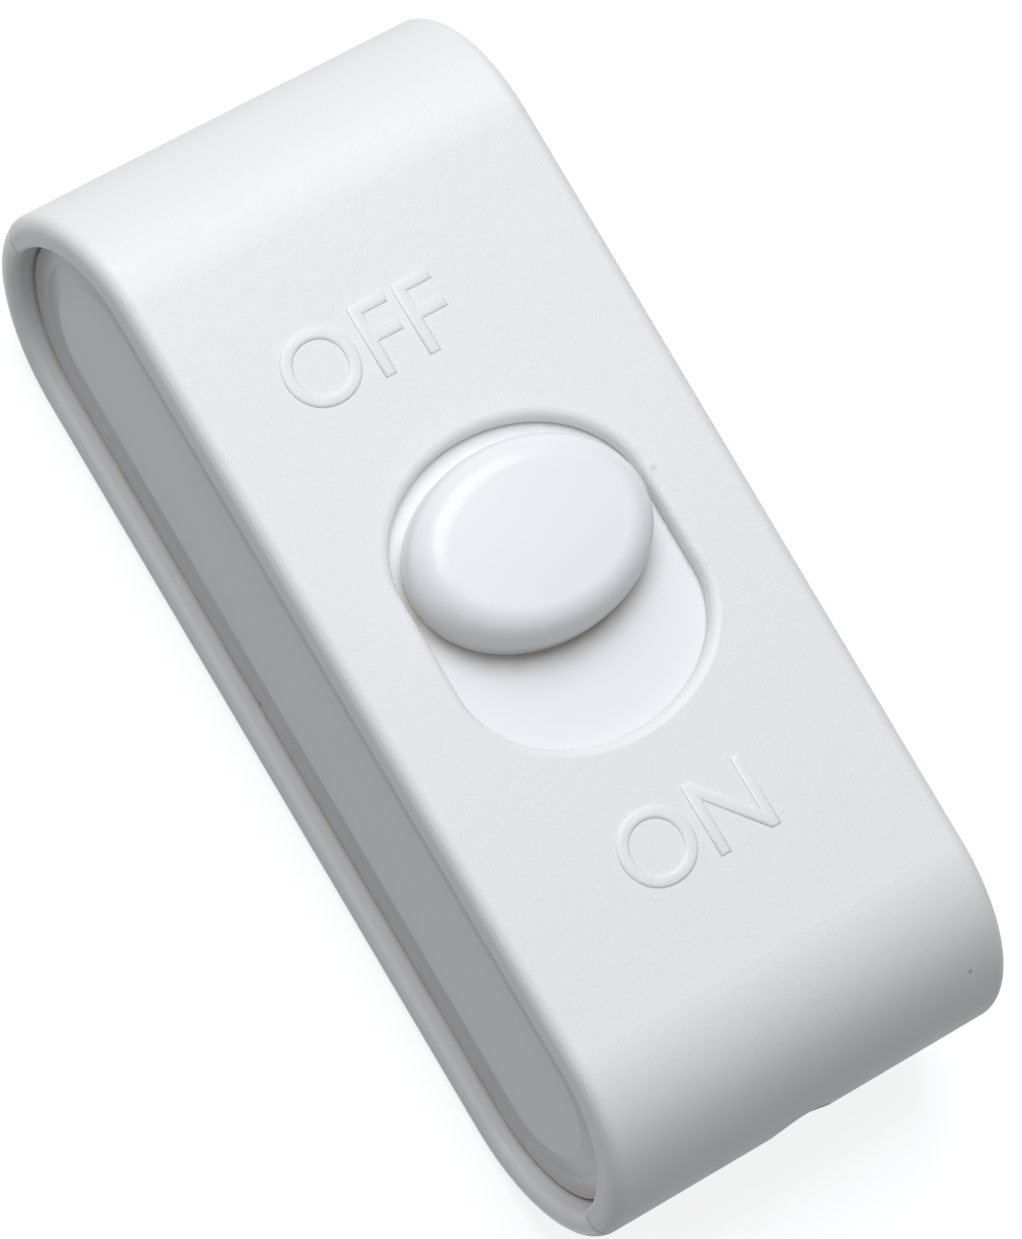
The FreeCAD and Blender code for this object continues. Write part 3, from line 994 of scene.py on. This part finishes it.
    def build(self) -> list[bpy.types.Object]:
        """Model the screw and set a copy of it at each CAD screw of its kind.

        Returns:
            The copies, in the order of the nodes.
        """
        pattern = self.pattern()
        upward = self.way is ShankWay.UP
        flip = Matrix.Rotation(math.radians(self.way.value), 4, "X")
        pieces = []
        for number, node in enumerate(self.nodes):
            low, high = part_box(node)
            middle = (low + high) / 2
            seat = low.z + self.head_height if upward else high.z - self.head_height
            piece = pattern.copy()
            piece.data = pattern.data.copy()
            piece.name = f"threaded_{node}"
            bpy.context.scene.collection.objects.link(piece)
            degrees = self.first_turn_degrees + self.next_turn_degrees * number
            driven = Matrix.Rotation(math.radians(degrees), 4, "Z")
            piece.matrix_world = Matrix.Translation((middle.x, middle.y, seat)) @ flip @ driven
            bpy.ops.object.select_all(action="DESELECT")
            piece.select_set(True)
            bpy.context.view_layer.objects.active = piece
            settle()
            pieces.append(piece)
        bpy.data.objects.remove(pattern)
        return pieces

    def dress(self, pieces: Sequence[bpy.types.Object], material: bpy.types.Material) -> None:
        """Finish the screws and put them in place of the CAD ones.

        Args:
            pieces: the screws, in the order of the nodes.
            material: finish of the screws.
        """
        for piece, node in zip(pieces, self.nodes):
            put_on(piece, material)
            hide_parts(node)
            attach(piece, Body.HOUSING.value)
            log.info("screw %s", piece.name)


HOUSING_SCREW = ThreadedScrew(
    nodes=("housing_screw_in", "housing_screw_out"),
    way=ShankWay.UP,
    head_radius=2.6 * MM,
    head_height=1.9 * MM,
    shank_radius=1.35 * MM,
    length=13.8 * MM,
    pitch=1.1 * MM,
    thread_depth=0.36 * MM,
)
TERMINAL_SCREW = ThreadedScrew(
    nodes=tuple(f"terminal_screw_{pole}_{end}" for pole in ("neutral", "live") for end in ("in", "out")),
    way=ShankWay.DOWN,
    head_radius=2.3 * MM,
    head_height=1.7 * MM,
    shank_radius=1.25 * MM,
    length=5.6 * MM,
    pitch=0.6 * MM,
    thread_depth=0.24 * MM,
)
CLAMP_SCREW = ThreadedScrew(
    nodes=tuple(f"clamp_screw_{side}_{end}" for side in ("front", "rear") for end in ("in", "out")),
    way=ShankWay.DOWN,
    head_radius=2.2 * MM,
    head_height=1.6 * MM,
    shank_radius=1.2 * MM,
    length=7.7 * MM,
    pitch=1.0 * MM,
    thread_depth=0.34 * MM,
)
SCREWS = (HOUSING_SCREW, TERMINAL_SCREW, CLAMP_SCREW)


@dataclass(frozen=True)
class SoftLamp:
    """Square studio lamp aimed at the object."""

    name: str
    place: Place
    width: float
    power: float
    colour: Colour

    def build(self, target: Vector) -> None:
        """Hang the lamp.

        Args:
            target: point that the lamp faces.
        """
        data = bpy.data.lights.new(self.name, "AREA")
        data.shape = "SQUARE"
        data.size = self.width
        data.energy = self.power
        data.color = self.colour
        lamp = bpy.data.objects.new(self.name, data)
        bpy.context.scene.collection.objects.link(lamp)
        lamp.location = self.place
        lamp.rotation_euler = (target - Vector(self.place)).to_track_quat("-Z", "Y").to_euler()


@dataclass
class Studio:
    """Pale floor, soft light and the camera at the photograph's angle."""

    target: Vector
    dome_axis: Place = (-0.27, -0.35, 1.0)
    dome_edge: float = 0.15
    dome_crown: float = 0.53
    dome_colour: Colour = COOL_WHITE
    backdrop_colour: Colour = PURE_WHITE
    floor_half: float = 2.0
    floor_bounce: float = 0.2
    floor_shadow_share: float = 0.3
    floor_glow: float = 0.82
    azimuth: float = 10.916
    elevation: float = 66.064
    roll: float = 49.332
    distance: float = 520.8 * MM
    focal_px: float = 8000.0
    centre_off_px: tuple[float, float] = (9.46, 0.74)
    sensor: float = 36.0
    near_clip: float = 10 * MM
    key_lamp: SoftLamp = SoftLamp("key_lamp", (-0.305, 0.05, 0.515), 0.5, 3.3, COOL_WHITE)

    def floor(self) -> None:
        """Lay a floor that looks white and still takes the object's shadow."""
        bpy.ops.object.select_all(action="DESELECT")
        bpy.ops.mesh.primitive_plane_add(size=2 * self.floor_half)
        floor = bpy.context.object
        floor.name = "floor"
        material, shader, unused = start_material("floor_paper")
        material.node_tree.nodes.remove(unused)
        path = shader.add("ShaderNodeLightPath")
        seen = shader.math("MAXIMUM", path.outputs["Is Camera Ray"], path.outputs["Is Glossy Ray"])
        seen = shader.math("MAXIMUM", seen, path.outputs["Is Transmission Ray"])
        bounce = shader.add("ShaderNodeBsdfDiffuse")
        bounce.inputs["Color"].default_value = rgba((self.floor_bounce,) * 3)
        shade = shader.add("ShaderNodeBsdfDiffuse")
        shade.inputs["Color"].default_value = rgba((self.floor_shadow_share,) * 3)
        glow = shader.add("ShaderNodeEmission")
        glow.inputs["Strength"].default_value = self.floor_glow
        white = shader.add("ShaderNodeAddShader")
        shader.feed(white.inputs, [shade.outputs[0], glow.outputs[0]])
        mix = shader.add("ShaderNodeMixShader")
        shader.feed(mix.inputs, [seen, bounce.outputs[0], white.outputs[0]])
        output = material.node_tree.nodes["Material Output"]
        shader.link(mix.outputs[0], output.inputs["Surface"])
        floor.data.materials.append(material)

    def world(self) -> None:
        """Light the scene softly from above, with a white backdrop for what is seen directly."""
        world = bpy.data.worlds.new("studio")
        bpy.context.scene.world = world
        world.use_nodes = True
        shader = ShaderTree(world.node_tree)
        dome = world.node_tree.nodes["Background"]
        dome.inputs["Color"].default_value = rgba(self.dome_colour)
        direction = shader.add("ShaderNodeTexCoord").outputs["Generated"]
        axis = Vector(self.dome_axis).normalized()
        lean = shader.vector("DOT_PRODUCT", direction, axis, result="Value")
        strength = shader.spread(lean, self.dome_edge, self.dome_crown)
        shader.link(strength, dome.inputs["Strength"])
        backdrop = shader.add("ShaderNodeBackground")
        backdrop.inputs["Color"].default_value = rgba(self.backdrop_colour)
        path = shader.add("ShaderNodeLightPath")
        mix = shader.add("ShaderNodeMixShader")
        shader.feed(mix.inputs, [path.outputs["Is Camera Ray"], dome.outputs[0], backdrop.outputs[0]])
        shader.link(mix.outputs[0], world.node_tree.nodes["World Output"].inputs["Surface"])

    def camera(self) -> None:
        """Set the camera at the photograph's viewing angle."""
        data = bpy.data.cameras.new("photo_camera")
        data.sensor_fit = "VERTICAL"
        data.sensor_height = self.sensor
        data.lens = self.focal_px / PHOTO_HEIGHT_PX * self.sensor
        data.shift_x = self.centre_off_px[0] / PHOTO_HEIGHT_PX
        data.shift_y = self.centre_off_px[1] / PHOTO_HEIGHT_PX
        data.clip_start = self.near_clip
        camera = bpy.data.objects.new("photo_camera", data)
        bpy.context.scene.collection.objects.link(camera)
        turn, rise, roll = (math.radians(a) for a in (self.azimuth, self.elevation, self.roll))
        level = Vector((math.cos(turn), math.sin(turn), 0.0))
        back = Vector((math.sin(turn) * math.cos(rise), -math.cos(turn) * math.cos(rise), math.sin(rise)))
        upright = back.cross(level)
        right = level * math.cos(roll) + upright * math.sin(roll)
        up = upright * math.cos(roll) - level * math.sin(roll)
        axes = Matrix((right, up, back)).transposed()
        camera.matrix_world = Matrix.Translation(self.target + back * self.distance) @ axes.to_4x4()
        bpy.context.scene.camera = camera

    def build(self) -> None:
        """Build floor, light and camera."""
        self.floor()
        self.world()
        self.key_lamp.build(self.target)
        self.camera()
        bpy.context.scene.view_settings.view_transform = "Standard"


def main() -> None:
    """Dress the switch, add its words and threaded screws, and set up the studio."""
    logging.basicConfig(level=logging.INFO)
    SharedGroups().build()
    finishes = CadFinishes(NODE_FINISHES)
    finishes.dress()
    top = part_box("top_shell")[1].z
    for word in WORDS:
        word.dress(word.build(top), finishes.material(SHELL))
    for screw in SCREWS:
        screw.dress(screw.build(), finishes.material(ZINC_STEEL))
    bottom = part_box("bottom_shell")[0].z
    Studio(Vector((0.0, 0.0, (bottom + top) / 2))).build()


if __name__ == "__main__":
    main()
